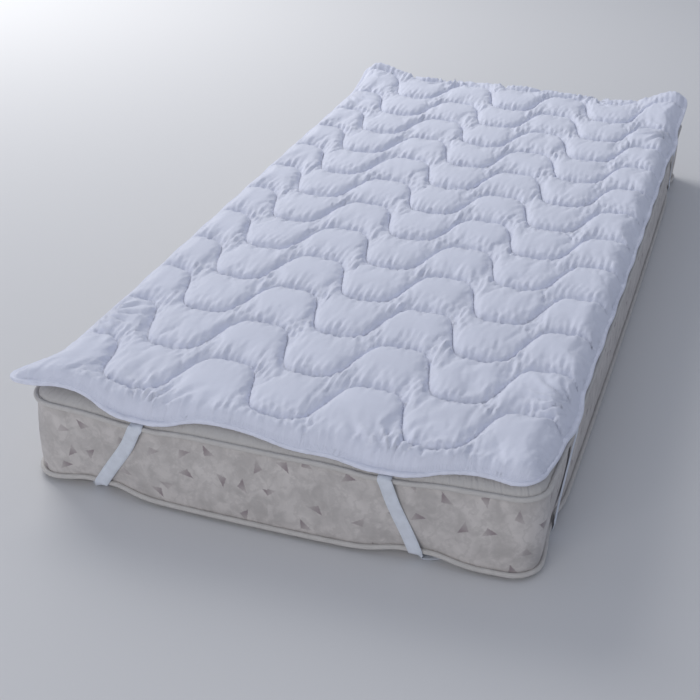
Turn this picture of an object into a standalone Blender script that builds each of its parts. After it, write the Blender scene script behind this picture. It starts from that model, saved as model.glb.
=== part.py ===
"""A quilted mattress pad held on a mattress by four elastic corner bands.

Metres, +Z up. The origin is the middle of the mattress's underside, +X is the
mattress's width and +Y its length, with the foot end at -Y. The pad is one filled
solid: its wavy seams are pressed down and the cells between them are crowned.
"""

import math

import bmesh
import bpy
import numpy as np
from mathutils.geometry import delaunay_2d_cdt

# The mattress
HALF_WIDTH = 0.457
HALF_LENGTH = 1.0
CORNER_RADIUS = 0.045
END_BOW = 0.016  # the foot and head faces stand out this much in their middle
SIDE_BOW = 0.006
BOTTOM_SEAM_Z = 0.011
TOP_SEAM_Z = 0.158
TOP_Z = 0.182
DOME_RUN = 0.07  # the top panel rises from its seam to full height over this run
WALL_BULGE = 0.004
PIPING_RADIUS = 0.0035
GAP = 0.0004  # between pieces that touch
PANEL_CLEARANCE = 0.012  # from a panel's edge to the first point inside it
EDGE_STEP = 0.085  # between the points along the mattress's edges

# The pad
PAD_HALF_WIDTH = 0.460
PAD_HALF_LENGTH = 1.0
PAD_CORNER_RADIUS = 0.05
PAD_DROOP = 0.011  # how far the pad's rim hangs below its middle
PAD_DROOP_RUN = 0.058
OFF_THE_DOME = 0.0028  # it bridges the mattress's rounded edge by this much
HEM_THICKNESS = 0.005
HEM_WIDTH = 0.013
SEAM_THICKNESS = 0.007  # the pad under a row of stitches
CROWN = 0.018  # a cell's crown stands this much higher than its seams
CROWN_REACH = 0.058  # from a seam to the crown's full height
BINDING_THICKNESS = 0.0011

# The quilting: seams run across the pad as waves, one cell high
COLUMN = 0.136
ROW = 0.1585
FIRST_COLUMN_X = -0.48
FIRST_ROW_Y = -0.953
SEAM_COUNT = 13
WAVE_HEIGHT = 0.965 * ROW
WAVE_SQUARENESS = 2.1
PATTERN_TURN = 0.0086  # the quilting lies this much askew on the mattress, in radians
RIM_STEP = 0.048  # between the points along the pad's rim, its seams and its crowns
SEAM_STEP = 0.025
FILL_STEP = 0.031
CLEAR_OF_SEAM = 0.015

# The elastic bands: distances from the mattress's middle line or middle, for the band's
# end at the pad's foot or head edge, its crossing of the bottom edge there, its crossing
# of the bottom edge at the long side, and its end at the pad's long edge
BAND_WIDTH = 0.024
BAND_THICKNESS = 0.0014
BAND_FIELDS = ("name", "side", "end", "end_top_x", "end_bottom_x", "side_bottom_y", "side_top_y")
BANDS = [
    dict(zip(BAND_FIELDS, row))
    for row in (
        ("elastic_band_foot_left", -1, -1, 0.238, 0.316, 0.82, 0.72),
        ("elastic_band_foot_right", 1, -1, 0.200, 0.256, 0.84, 0.74),
        ("elastic_band_head_left", -1, 1, 0.205, 0.270, 0.83, 0.73),
        ("elastic_band_head_right", 1, 1, 0.215, 0.280, 0.83, 0.73),
    )
]
FLAT_PULL = 0.02  # an edge is drawn in evenly this far to either side of a band
PULL_REACH = 0.05  # and the pull fades over this distance
PINCH_LIFT = 0.011
PINCH_IN = 0.007
GROOVE_LIFT = 0.004  # the underside stands this high over a band under a corner
GROOVE_FLAT = 0.022
TOP_PULL = 0.006  # a band draws the pad's rim and the seam under it down this much
PULL_OUT = 0.008
SCALLOP = 0.003

# Where the pad's corners lift off: (x, y) of the corner's sign, how far it rises and spreads
CORNER_FIELDS = ("side", "end", "lift", "spread")
CORNERS = [
    dict(zip(CORNER_FIELDS, row))
    for row in (
        (-1, -1, 0.016, 0.056),
        (1, -1, 0.001, -0.010),
        (-1, 1, 0.040, 0.008),
        (1, 1, 0.062, 0.012),
    )
]
CORNER_REACH = 0.11

# Where the rim lies drawn back between two bands: (x, y), how far this reaches, how far back
# the rim lies and how far it rises
TUCK_FIELDS = ("x", "y", "reach", "back", "lift")
TUCKS = [
    dict(zip(TUCK_FIELDS, row))
    for row in (
        (-0.365, -0.985, 0.075, 0.020, 0.006),
        (-0.090, -1.000, 0.085, 0.014, 0.003),
        (0.330, -0.990, 0.070, 0.010, 0.003),
        (0.000, 1.000, 0.130, 0.000, 0.008),
    )
]


def stations(half, spacing, marks):
    """Positions along a straight side: even ones, and a pair on either side of each mark."""
    pairs = [m + o for m in marks for o in (-FLAT_PULL, FLAT_PULL)]
    pairs = [p for p in pairs if abs(p) < half - 0.2 * spacing]
    even = np.linspace(-half, half, round(2 * half / spacing) + 1)
    clear = [e for e in even[1:-1] if all(abs(e - p) > 0.4 * spacing for p in pairs)]
    return np.array(sorted({-half, half, *clear, *pairs}))


def side_stations(half_x, half_y, spacing, end_fields, side_fields):
    """Each side's stations as shares of its half, anticlockwise from the foot end."""
    sides = (
        ("end", -1, "side", half_x, end_fields, 1),
        ("side", 1, "end", half_y, side_fields, 1),
        ("end", 1, "side", half_x, end_fields, -1),
        ("side", -1, "end", half_y, side_fields, -1),
    )
    found = []
    for key, sign, other, half, fields, way in sides:
        bands = [band for band in BANDS if band[key] == sign]
        marks = [way * band[other] * band[field] for band in bands for field in fields]
        found.append(stations(half, spacing, marks) / half)
    return found


def rounded_loop(half_width, half_length, radius, shares, arc_count):
    """A rounded rectangle's points, anticlockwise from the foot end's left."""
    halves = (half_width - radius, half_length - radius)
    reaches = (half_length, half_width)
    bend = np.radians(90 * np.arange(1, arc_count) / arc_count)
    points = []
    for quarter, share in enumerate(shares):
        half, reach = halves[quarter % 2], reaches[quarter % 2]
        across = np.concatenate([half * share, half + radius * np.sin(bend)])
        out = np.concatenate([np.full(len(share), -reach), radius * (1 - np.cos(bend)) - reach])
        angle = math.radians(90 * quarter)
        turn = np.array(((math.cos(angle), math.sin(angle)), (-math.sin(angle), math.cos(angle))))
        points.append(np.stack([across, out], axis=1) @ turn)
    return np.concatenate(points)


def bowed(points):
    """Bows a loop's ends and sides outwards, as a sprung mattress's faces are."""
    x, y = points[:, 0], points[:, 1]
    return np.stack(
        [
            x * (1 - SIDE_BOW / HALF_WIDTH * (y / HALF_LENGTH) ** 2),
            y * (1 - END_BOW / HALF_LENGTH * (x / HALF_WIDTH) ** 2),
        ],
        axis=1,
    )


def inside_edge(x, y):
    """How far points lie inside the mattress's outline, in plan."""
    straight_x = x / (1 - SIDE_BOW / HALF_WIDTH * (y / HALF_LENGTH) ** 2)
    straight_y = y / (1 - END_BOW / HALF_LENGTH * (x / HALF_WIDTH) ** 2)
    across = np.abs(straight_x) - (HALF_WIDTH - CORNER_RADIUS)
    along = np.abs(straight_y) - (HALF_LENGTH - CORNER_RADIUS)
    outside = np.hypot(np.maximum(across, 0), np.maximum(along, 0))
    return CORNER_RADIUS - outside - np.minimum(np.maximum(across, along), 0)


def dome(depth):
    """The mattress top's height at a distance inside its outline: a quarter ellipse."""
    share = np.clip(depth / DOME_RUN, 0, 1)
    return TOP_SEAM_Z + (TOP_Z - TOP_SEAM_Z) * np.sqrt(1 - (1 - share) ** 2)


def outward(loop):
    """The outward direction in plan at each point of an anticlockwise loop."""
    along = np.roll(loop, -1, axis=0)[:, :2] - np.roll(loop, 1, axis=0)[:, :2]
    normal = np.stack([along[:, 1], -along[:, 0]], axis=1)
    return normal / np.linalg.norm(normal, axis=1)[:, None]


def end_edge(x):
    """How far the foot or head end's outline is from the middle, at a place across it."""
    return HALF_LENGTH - END_BOW * (x / HALF_WIDTH) ** 2


def side_edge(y):
    return HALF_WIDTH - SIDE_BOW * (y / HALF_LENGTH) ** 2


def band_marks(end_field, side_field):
    """The plan points where the bands meet an edge, for the two fields that place them."""
    marks = []
    for band in BANDS:
        side, end = band["side"], band["end"]
        marks.append((side * band[end_field], end * end_edge(band[end_field])))
        marks.append((side * side_edge(band[side_field]), end * band[side_field]))
    return np.array(marks)


def pull_at(x, y, marks):
    """How strongly the bands pull at plan points: 1 across a band, fading beside it."""
    away = np.hypot(x[:, None] - marks[:, 0], y[:, None] - marks[:, 1]).min(axis=1)
    return np.exp(-((np.maximum(away - FLAT_PULL, 0) / PULL_REACH) ** 2))


def underside_line(band):
    """The two plan points between which a band lies under the mattress."""
    side, end = band["side"], band["end"]
    start = (side * band["end_bottom_x"], end * (end_edge(band["end_bottom_x"]) - PINCH_IN))
    finish = (side * (side_edge(band["side_bottom_y"]) - PINCH_IN), end * band["side_bottom_y"])
    return np.array(start), np.array(finish)


def roof(share):
    """The mattress's underside above a band, along the band's way under it."""
    return PINCH_LIFT - (PINCH_LIFT - GROOVE_LIFT) * np.sin(math.pi * share)


def groove_height(x, y):
    """How far the bands press the mattress's underside in."""
    height = np.zeros_like(x)
    for band in BANDS:
        start, finish = underside_line(band)
        length = np.linalg.norm(finish - start)
        unit = (finish - start) / length
        offset_x, offset_y = x - start[0], y - start[1]
        run = np.clip(offset_x * unit[0] + offset_y * unit[1], 0, length)
        away = np.hypot(offset_x - run * unit[0], offset_y - run * unit[1])
        fade = np.exp(-((np.maximum(away - GROOVE_FLAT, 0) / GROOVE_FLAT) ** 2))
        height = np.maximum(height, roof(run / length) * fade)
    return height


def material(name, colour, roughness):
    made = bpy.data.materials.new(name)
    made.use_nodes = True
    shader = made.node_tree.nodes["Principled BSDF"]
    shader.inputs["Base Color"].default_value = (*colour, 1)
    shader.inputs["Roughness"].default_value = roughness
    shader.inputs["Metallic"].default_value = 0
    return made


def finished(name, points, faces, look):
    """Puts a closed shape into the scene with its faces pointing outwards."""
    mesh = bpy.data.meshes.new(name)
    mesh.from_pydata([tuple(p) for p in points], [], [tuple(f) for f in faces])
    work = bmesh.new()
    work.from_mesh(mesh)
    bmesh.ops.recalc_face_normals(work, faces=work.faces)
    work.to_mesh(mesh)
    work.free()
    mesh.materials.append(look)
    mesh.shade_smooth()
    mesh.set_sharp_from_angle(angle=math.radians(40))
    made = bpy.data.objects.new(name, mesh)
    bpy.context.scene.collection.objects.link(made)
    return made


def panel(loop, inner, heights, seams=()):
    """Triangles that fill a loop, using inner plan points and keeping to the seams.

    Returns the new points, and faces that number the loop's points first.
    """
    inner = inner[depth_inside(*inner.T, loop) > PANEL_CLEARANCE]
    plan = [tuple(p[:2]) for p in loop] + [tuple(p) for p in inner]
    edges = []
    for seam in seams:
        first = len(plan)
        plan.extend(tuple(p) for p in seam)
        edges.extend((first + i, first + i + 1) for i in range(len(seam) - 1))
    rim = list(range(len(loop)))
    found_points, _, triangles, sources, _, _ = delaunay_2d_cdt(plan, edges, [rim], 1, 1e-6, True)
    number = [min(came_from) for came_from in sources]
    # A triangle across a dent in the loop lies outside it and is left out.
    centres = np.array(found_points)[np.array(triangles)].mean(axis=1)
    kept = depth_inside(*centres.T, loop) > 0
    faces = [[number[v] for v in face] for face, inside in zip(triangles, kept) if inside]
    extra = sorted({v for face in faces for v in face if v >= len(loop)})
    place = {v: len(loop) + i for i, v in enumerate(extra)}
    xy = np.array([plan[v] for v in extra])
    new_points = np.column_stack([xy, heights(*xy.T)])
    return new_points, [[place.get(v, v) for v in face] for face in faces]


def between(points, low, high, count):
    """Triangles joining two closed loops, given their first points' numbers.

    Each four-sided piece is split along its higher diagonal, so that one surface laid
    along another bends in the same places.
    """
    faces = []
    for i in range(count):
        j = (i + 1) % count
        a, b, c, d = low + i, low + j, high + j, high + i
        if points[a][2] + points[c][2] > points[b][2] + points[d][2]:
            faces += [(a, b, c), (a, c, d)]
        else:
            faces += [(a, b, d), (b, c, d)]
    return faces


def stacked_body(name, rings, top, bottom, look):
    """A closed body of rings from bottom to top, closed by a top and a bottom panel."""
    count = len(rings[0])
    points = np.concatenate(rings)
    faces = []
    for level in range(len(rings) - 1):
        faces += between(points, level * count, (level + 1) * count, count)
    for ring_number, (extra, panel_faces) in ((len(rings) - 1, top), (0, bottom)):
        first = [ring_number * count, len(points) - count]
        points = np.concatenate([points, extra])
        faces += [[first[v >= count] + v for v in face] for face in panel_faces]
    finished(name, points, faces, look)


def ring_body(name, sections, look):
    """A closed ring: sections[k] is a loop of points, one for each corner of its section."""
    count = len(sections[0])
    points = np.concatenate(sections)
    faces = []
    for k in range(len(sections)):
        faces += between(points, k * count, (k + 1) % len(sections) * count, count)
    finished(name, points, faces, look)


def scattered(half_width, half_length, step):
    """Plan points in even rows, every second row shifted by half a step."""
    rows = np.arange(-half_length, half_length + step, step * math.sqrt(3) / 2)
    points = []
    for number, y in enumerate(rows):
        shift = step / 2 * (number % 2)
        points.extend((x, y) for x in np.arange(-half_width + shift, half_width, step))
    return np.array(points)


def mattress_level(depth, z, pinch_share, dip_share):
    """One level of the mattress's side: a loop at a distance inside the outline."""
    base = (HALF_WIDTH - CORNER_RADIUS, HALF_LENGTH - CORNER_RADIUS)
    end_fields, side_fields = ("end_top_x", "end_bottom_x"), ("side_top_y", "side_bottom_y")
    shares = side_stations(*base, EDGE_STEP, end_fields, side_fields)
    radius = max(CORNER_RADIUS - depth, 0.01)
    loop = bowed(rounded_loop(HALF_WIDTH - depth, HALF_LENGTH - depth, radius, shares, 4))
    low = pull_at(*loop.T, band_marks("end_bottom_x", "side_bottom_y"))
    high = pull_at(*loop.T, band_marks("end_top_x", "side_top_y"))
    loop = loop - outward(loop) * (PINCH_IN * pinch_share * low)[:, None]
    height = z + PINCH_LIFT * pinch_share * low - TOP_PULL * dip_share * high
    return np.column_stack([loop, height])


def make_mattress(look):
    """The mattress. Returns its levels, from the underside's edge to the top panel's."""
    levels = (
        (0.034, 0.0, 0.0, 0.0),
        (0.010, 0.0022, 1.0, 0.0),
        (0.0, BOTTOM_SEAM_Z, 1.0, 0.0),
        (-WALL_BULGE, 0.050, 0.5, 0.0),
        (-WALL_BULGE, 0.110, 0.1, 0.3),
        (0.0, TOP_SEAM_Z, 0.0, 1.0),
        (0.008, float(dome(0.008)), 0.0, 0.7),
        (0.030, float(dome(0.030)), 0.0, 0.2),
        (DOME_RUN, TOP_Z, 0.0, 0.0),
    )
    rings = [mattress_level(*level) for level in levels]
    rings[0][:, 2] = groove_height(rings[0][:, 0], rings[0][:, 1])
    beside_bands = []
    for band in BANDS:
        start, finish = underside_line(band)
        unit = (finish - start) / np.linalg.norm(finish - start)
        across = np.array((-unit[1], unit[0]))
        for share in np.linspace(0.2, 0.8, 5):
            middle = start * (1 - share) + finish * share
            offsets = (-2.4 * GROOVE_FLAT, -GROOVE_FLAT, GROOVE_FLAT, 2.4 * GROOVE_FLAT)
            beside_bands.extend(middle + across * o for o in offsets)
    sparse = scattered(HALF_WIDTH - 0.09, HALF_LENGTH - 0.09, 0.17)
    top = panel(rings[-1], sparse, lambda x, y: np.full_like(x, TOP_Z))
    bottom = panel(rings[0], np.concatenate([beside_bands, sparse]), groove_height)
    stacked_body("mattress", rings, top, bottom, look)
    return rings


def make_piping(name, seam, look):
    """A cord sewn into a seam of the mattress, half proud of it."""
    out = outward(seam)
    sections = []
    for angle in np.radians([0, 90, 180, 270]):
        reach = PIPING_RADIUS * (math.cos(angle) + 1) + GAP
        sections.append(
            np.column_stack([seam[:, :2] + out * reach, seam[:, 2] + PIPING_RADIUS * math.sin(angle)])
        )
    ring_body(name, sections, look)


def wave(x):
    """The seams' shape across the pad: 1 over an arched column and 0 under a cupped one."""
    turn = np.sin(math.pi * (x - FIRST_COLUMN_X) / COLUMN)
    return 0.5 + 0.5 * np.tanh(WAVE_SQUARENESS * turn) / math.tanh(WAVE_SQUARENESS)


def seam_lines(step):
    """Each seam as plan points about a step apart, turned with the pattern."""
    x = np.linspace(-0.52, 0.52, 4000)
    y = WAVE_HEIGHT * wave(x)
    run = np.concatenate([[0], np.cumsum(np.hypot(np.diff(x), np.diff(y)))])
    even = np.linspace(0, run[-1], int(run[-1] / step))
    even_x, even_y = np.interp(even, run, x), np.interp(even, run, y)
    lines = []
    for number in range(SEAM_COUNT):
        row_y = FIRST_ROW_Y + number * ROW + even_y
        lines.append(np.stack([even_x + PATTERN_TURN * row_y, row_y - PATTERN_TURN * even_x], axis=1))
    return lines


def pad_rim():
    """The pad's outline in plan: drawn out at the bands and spread at loose corners."""
    base = (PAD_HALF_WIDTH - PAD_CORNER_RADIUS, PAD_HALF_LENGTH - PAD_CORNER_RADIUS)
    shares = side_stations(*base, RIM_STEP, ("end_top_x",), ("side_top_y",))
    loop = bowed(rounded_loop(PAD_HALF_WIDTH, PAD_HALF_LENGTH, PAD_CORNER_RADIUS, shares, 5))
    pull = pull_at(*loop.T, band_marks("end_top_x", "side_top_y"))
    scallop = SCALLOP * np.cos(2 * math.pi * (loop[:, 0] + loop[:, 1]) / COLUMN) * (1 - pull)
    loop = loop + outward(loop) * (PULL_OUT * pull + scallop)[:, None]
    for tuck in TUCKS:
        share = tuck_share(*loop.T, tuck) * (1 - pull)
        loop = loop - outward(loop) * (tuck["back"] * share)[:, None]
    for corner in CORNERS:
        way = np.array((corner["side"], 0.35 * corner["end"]))
        loop = loop + corner_share(*loop.T, corner)[:, None] * corner["spread"] * way
    return loop


def corner_share(x, y, corner):
    """How near points are to one corner of the pad, from 0 to 1."""
    away = np.hypot(x - corner["side"] * PAD_HALF_WIDTH, y - corner["end"] * PAD_HALF_LENGTH)
    return np.exp(-((away / CORNER_REACH) ** 2))


def tuck_share(x, y, tuck):
    """How near points are to where the rim lies drawn back, from 0 to 1."""
    away = np.hypot(x - tuck["x"], y - tuck["y"])
    return np.exp(-((away / tuck["reach"]) ** 2))


def pad_underside(x, y):
    """The pad's lower face: it lies on the mattress, droops at its rim and lifts at corners."""
    depth = inside_edge(x, y)
    near_rim = 1 - np.clip(depth / PAD_DROOP_RUN, 0, 1)
    pull = pull_at(x, y, band_marks("end_top_x", "side_top_y"))
    height = TOP_Z + 2 * GAP - (PAD_DROOP + TOP_PULL * pull) * near_rim**2
    height += OFF_THE_DOME * np.sin(math.pi * near_rim)
    for corner in CORNERS:
        height = height + corner["lift"] * corner_share(x, y, corner)
    for tuck in TUCKS:
        height = height + tuck["lift"] * tuck_share(x, y, tuck)
    return height


def depth_inside(x, y, loop):
    """How far points lie inside a closed loop, in plan: negative outside it."""
    start, finish = loop[:, :2], np.roll(loop, -1, axis=0)[:, :2]
    along = finish - start
    offset = np.stack([x, y], axis=1)[:, None] - start
    run = np.clip((offset * along).sum(axis=2) / (along**2).sum(axis=1), 0, 1)
    away = np.linalg.norm(offset - run[:, :, None] * along, axis=2).min(axis=1)
    spans = (start[:, 1] > y[:, None]) != (finish[:, 1] > y[:, None])
    rise = np.where(along[:, 1] == 0, 1, along[:, 1])
    crossing = start[:, 0] + (y[:, None] - start[:, 1]) * along[:, 0] / rise
    inside = (spans & (x[:, None] < crossing)).sum(axis=1) % 2 == 1
    return np.where(inside, away, -away)


def nearest_point(x, y, points):
    """How far plan points are from the nearest of a list of points."""
    nearest = np.full(len(x), np.inf)
    for block in np.array_split(points, 40):
        away = np.hypot(x[:, None] - block[:, 0], y[:, None] - block[:, 1])
        nearest = np.minimum(nearest, away.min(axis=1))
    return nearest


def crown_height(x, y, seams, hem):
    """How much higher than a seam the pad's top stands: a rounded crown away from seams."""
    nearest = np.minimum(nearest_point(x, y, seams), depth_inside(x, y, hem))
    share = np.clip(nearest / CROWN_REACH, 0, 1)
    return CROWN * np.sqrt(1 - (1 - share) ** 2)


def make_pad(look):
    """The pad, and the two loops that its binding follows: the rim and the hem's inner edge."""
    rim_plan = pad_rim()
    hem_plan = rim_plan - outward(rim_plan) * HEM_WIDTH
    rim = np.column_stack([rim_plan, pad_underside(*rim_plan.T)])
    hem = np.column_stack([hem_plan, pad_underside(*hem_plan.T)])
    rise = np.array((0, 0, HEM_THICKNESS))
    rings = [hem, rim, rim + rise, hem + rise]

    seams = np.concatenate(seam_lines(0.006))
    seams = seams[depth_inside(*seams.T, hem) > 0.004]
    lines = []
    for line in seam_lines(SEAM_STEP):
        kept = np.flatnonzero(depth_inside(*line.T, hem) > 0.012)
        runs = np.split(kept, np.flatnonzero(np.diff(kept) > 1) + 1)
        lines.extend(line[run] for run in runs if len(run) > 1)
    fill = scattered(PAD_HALF_WIDTH, PAD_HALF_LENGTH, FILL_STEP)
    fill = fill[depth_inside(*fill.T, hem) > 0.016]
    fill = fill[nearest_point(*fill.T, np.concatenate(lines)) > CLEAR_OF_SEAM]

    def top_height(x, y):
        return pad_underside(x, y) + SEAM_THICKNESS + crown_height(x, y, seams, hem)

    sparse = [scattered(PAD_HALF_WIDTH - 0.09, PAD_HALF_LENGTH - 0.09, 0.14)]
    for reach, every in ((0.024, 1), (0.056, 2)):
        sparse.append((hem_plan - outward(rim_plan) * reach)[::every])
    top = panel(rings[-1], fill, top_height, lines)
    bottom = panel(rings[0], np.concatenate(sparse), pad_underside)
    stacked_body("quilted_pad", rings, top, bottom, look)
    return rim, hem


def make_binding(rim, hem, look):
    """A tape folded round the pad's edge: a C in section, its lips on the hem."""
    inner, outer = 1.5 * GAP, 1.5 * GAP + BINDING_THICKNESS
    near, far, lip = -inner / HEM_WIDTH, -outer / HEM_WIDTH, 0.86
    corners = (
        (far, HEM_THICKNESS + outer),
        (lip, HEM_THICKNESS + outer),
        (lip, HEM_THICKNESS + inner),
        (near, HEM_THICKNESS + inner),
        (near, -inner),
        (lip, -inner),
        (lip, -outer),
        (far, -outer),
    )
    sections = [rim + (hem - rim) * share + np.array((0, 0, z)) for share, z in corners]
    ring_body("edge_binding", sections, look)


def wall_place(ring, axis, sign, coordinate):
    """How far out a mattress level is, and how high, at a place along one of its four faces."""
    out = ring[:, 1 - axis] * sign
    face = ring[out > out.max() - 0.6 * CORNER_RADIUS]
    face = face[np.argsort(face[:, axis])]
    place = [np.interp(coordinate, face[:, axis], face[:, k]) for k in (1 - axis, 2)]
    return abs(place[0]), place[1]


def face_run(rings, axis, sign, top, low):
    """A band's way down one face of the mattress: points, and the way that it faces."""
    over_piping = 2 * PIPING_RADIUS + 4 * GAP + BAND_THICKNESS
    # Each row: mattress level, share of the way down, then how far out and up from it.
    profile = (
        (5, 0.0, -0.002, 0.0070, 0.0),
        (5, 0.0, 0.0060, 0.0066, 0.4),
        (5, 0.0, over_piping, 0.0020, 1.0),
        (5, 0.05, over_piping, -0.0035, 1.0),
        (4, 0.29, 0.0024, 0.0, 1.0),
        (3, 0.73, 0.0024, 0.0, 1.0),
        (2, 0.97, over_piping, 0.0030, 1.0),
        (2, 1.0, over_piping + 0.0004, -0.0010, 0.9),
        (2, 1.01, 0.0074, -0.0056, 0.45),
        (2, 1.03, 0.0010, -0.0100, 0.0),
    )
    points, facing = [], []
    for level, share, out, up, outwards in profile:
        coordinate = top + (low - top) * share
        reach, height = wall_place(rings[level], axis, sign, coordinate)
        point = np.zeros(3)
        point[axis], point[1 - axis], point[2] = coordinate, sign * (reach + out), height + up
        way = np.zeros(3)
        way[1 - axis] = sign * outwards
        way[2] = (1 - outwards) * (1 if share < 0.5 else -1)
        points.append(point)
        facing.append(way)
    return points, facing


def make_band(band, rings, look):
    """A flat elastic tape of one width, from the pad's foot or head edge to its long edge."""
    side, end = band["side"], band["end"]
    points, facing = face_run(rings, 0, end, side * band["end_top_x"], side * band["end_bottom_x"])
    back, back_facing = face_run(rings, 1, side, end * band["side_top_y"], end * band["side_bottom_y"])
    start, finish = points[-1][:2], back[-1][:2]
    for share in np.linspace(0.1, 0.9, 6):
        height = 0.0012 + 0.5 * (roof(share) - GROOVE_LIFT)
        points.append(np.array((*(start * (1 - share) + finish * share), height)))
        facing.append(np.array((0.0, 0.0, -1.0)))
    path = np.array(points + back[::-1])
    facing = np.array(facing + back_facing[::-1])
    along = np.gradient(path, axis=0)
    along /= np.linalg.norm(along, axis=1)[:, None]
    facing -= along * (facing * along).sum(axis=1)[:, None]
    facing /= np.linalg.norm(facing, axis=1)[:, None]
    across = np.cross(along, facing)
    corners = ((-1, -1), (1, -1), (1, 1), (-1, 1))
    rows = [
        path + across * (BAND_WIDTH / 2 * a) + facing * (BAND_THICKNESS / 2 * b) for a, b in corners
    ]
    count = len(path)
    faces = [[k * count for k in range(4)], [k * count + count - 1 for k in range(4)]]
    for k in range(4):
        m = (k + 1) % 4
        for i in range(count - 1):
            faces.append((k * count + i, k * count + i + 1, m * count + i + 1, m * count + i))
    finished(band["name"], np.concatenate(rows), faces, look)


def main():
    for old in list(bpy.data.objects):
        bpy.data.objects.remove(old)
    cover = material("white_cover", (0.80, 0.82, 0.88), 0.85)
    tape = material("white_tape", (0.84, 0.86, 0.90), 0.8)
    ticking = material("ticking", (0.46, 0.44, 0.42), 0.8)
    edging = material("ticking_piping", (0.55, 0.53, 0.50), 0.7)
    levels = make_mattress(ticking)
    make_piping("bottom_piping", levels[2], edging)
    make_piping("top_piping", levels[5], edging)
    rim, hem = make_pad(cover)
    make_binding(rim, hem, tape)
    for band in BANDS:
        make_band(band, levels, tape)


main()
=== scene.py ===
"""Dresses the quilted mattress pad, its elastic corner bands and the mattress under it.

The pad's cover is a sheet a little too wide for its quilting. Blender's cloth solver draws
its seams in to their real places and puffs it up between them. Gathers and creases finer
than the solver leaves are added to the settled cover. Everything else is a surface worked
out on a grid.
"""

import math

import bmesh
import bpy
import numpy as np
from bpy.props import FloatProperty, FloatVectorProperty, IntProperty, PointerProperty
from mathutils import Matrix, Vector


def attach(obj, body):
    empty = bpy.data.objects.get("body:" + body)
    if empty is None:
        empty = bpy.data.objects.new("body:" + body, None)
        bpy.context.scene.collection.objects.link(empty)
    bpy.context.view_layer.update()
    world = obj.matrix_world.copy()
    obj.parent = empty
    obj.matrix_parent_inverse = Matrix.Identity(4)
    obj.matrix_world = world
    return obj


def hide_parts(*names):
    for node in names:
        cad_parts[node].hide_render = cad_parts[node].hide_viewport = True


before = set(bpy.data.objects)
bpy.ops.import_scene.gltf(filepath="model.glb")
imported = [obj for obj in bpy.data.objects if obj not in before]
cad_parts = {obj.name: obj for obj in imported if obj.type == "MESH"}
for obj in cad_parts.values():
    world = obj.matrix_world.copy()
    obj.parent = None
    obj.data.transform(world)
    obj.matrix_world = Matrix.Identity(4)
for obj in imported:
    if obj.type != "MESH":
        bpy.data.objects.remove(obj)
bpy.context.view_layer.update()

bl_info = {
    "name": "Quilted Mattress Pad",
    "version": (1, 0, 0),
    "blender": (4, 5, 0),
    "location": "View3D > Sidebar > Bedding",
    "description": "Makes a quilted pad with elastic corner bands on a single mattress",
    "category": "Add Mesh",
}

# The mattress's middle line, its outline and where its two seams lie, in metres
HALF_WIDTH = 0.457
HALF_LENGTH = 1.0
CORNER_RADIUS = 0.045
END_BOW = 0.016
SIDE_BOW = 0.006
BOTTOM_SEAM_Z = 0.011
TOP_SEAM_Z = 0.158
TOP_Z = 0.182
DOME_RUN = 0.07
WALL_BULGE = 0.004
PIPING_OUT = 0.0039
GATHER_REACH = 0.012
WALL_WAVES = 0.0012
UNDER_DEPTHS = (0.26, 0.19, 0.13, 0.09, 0.06)

# The pad's rim, before the bands and its loose corners shape it
PAD_HALF_WIDTH = 0.460
PAD_HALF_LENGTH = 1.0
PAD_CORNER = 0.05
PAD_DROOP = 0.011
PAD_DROOP_RUN = 0.058
OFF_THE_DOME = 0.0028
PAD_OFF_MATTRESS = 0.0008
HEM_THICKNESS = 0.005
SEAM_THICKNESS = 0.007

# The binding: its points round the rim, how far its fold stands out past the rim, and how
# far across its section its row of stitches lies
RIM_POINTS = 1900
BINDING_BULGE = 0.0026
BINDING_STITCHES = 0.0300

# The quilting's waves
COLUMN = 0.136
ROW = 0.1585
FIRST_COLUMN_X = -0.48
FIRST_ROW_Y = -0.953
SEAM_COUNT = 13
WAVE_HEIGHT = 0.965 * ROW
WAVE_SQUARENESS = 2.1
PATTERN_TURN = 0.0086

# How many frames the cloth solver runs for, and by what share of them the pins have moved in
SETTLING_FRAMES = 16
PINS_HOME = 0.65

# How far inside the rim the hem is sewn, and how far in the rim's own shape reaches
HEM_SEWN = 0.0102
RIM_REACH = 0.09

CROWN, CROWN_REACH = 0.012, 0.055
LIFT, LIFT_REACH = 0.006, 0.022
FULLEST = 0.0215

# How far from a seam its gathers reach, on its upper and its lower side, and the share that
# is added in the necks and left inside the hem
GATHERS_ABOVE = 0.036
GATHERS_BELOW = 0.017
NECK_GATHERS = 0.7
HEM_GATHERS = 0.4

# How the bands pull at the edges that they cross, and how far the rim is scalloped
FLAT_PULL = 0.02
PULL_REACH = 0.05
PINCH_LIFT = 0.011
PINCH_IN = 0.007
GROOVE_LIFT = 0.004
GROOVE_FLAT = 0.022
TOP_PULL = 0.006
PULL_OUT = 0.008
SCALLOP = 0.0012

# How far out of a seam a band runs where it passes over the piping, less its own thickness
OVER_PIPING = 0.0086

# The bands: their corner, and where each crosses the mattress's upper and lower edges
BAND_FIELDS = ("name", "side", "end", "end_top_x", "end_bottom_x", "side_bottom_y", "side_top_y")
BANDS = [
    dict(zip(BAND_FIELDS, row))
    for row in (
        ("elastic_band_foot_left", -1, -1, 0.238, 0.316, 0.82, 0.72),
        ("elastic_band_foot_right", 1, -1, 0.200, 0.256, 0.84, 0.74),
        ("elastic_band_head_left", -1, 1, 0.205, 0.270, 0.83, 0.73),
        ("elastic_band_head_right", 1, 1, 0.215, 0.280, 0.83, 0.73),
    )
]

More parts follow.
